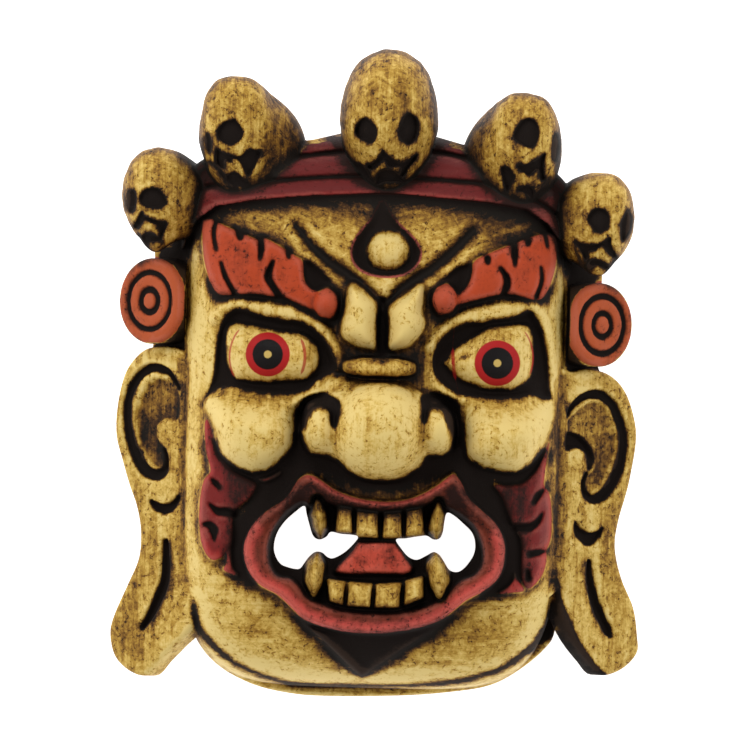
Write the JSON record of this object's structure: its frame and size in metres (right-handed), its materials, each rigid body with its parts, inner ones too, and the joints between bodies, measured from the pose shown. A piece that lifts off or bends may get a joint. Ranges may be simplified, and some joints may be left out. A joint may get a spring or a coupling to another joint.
{
  "type": "carved wooden bhairab mask",
  "caption": "Carved and painted wooden mask of a wrathful deity with a skull crown, fangs and long ears; lies on its open back.",
  "frame": {"origin": "middle of the mask's box, in the plane of the back rim that it lies on", "axes": "+Z is the way the face looks, out of the back rim's plane; +Y runs from the chin to the crown; +X is to the right of someone who looks at the face"},
  "size_m": [0.2638, 0.325, 0.12],
  "materials": {
    "carved_wood": "painted and stained carved wood, satin: ivory ochre skin with brown stain in the hollows, red lips, brows and band"
  },
  "bodies": {
    "root": {"carved_mask": "carved_wood"}
  },
  "joints": []
}
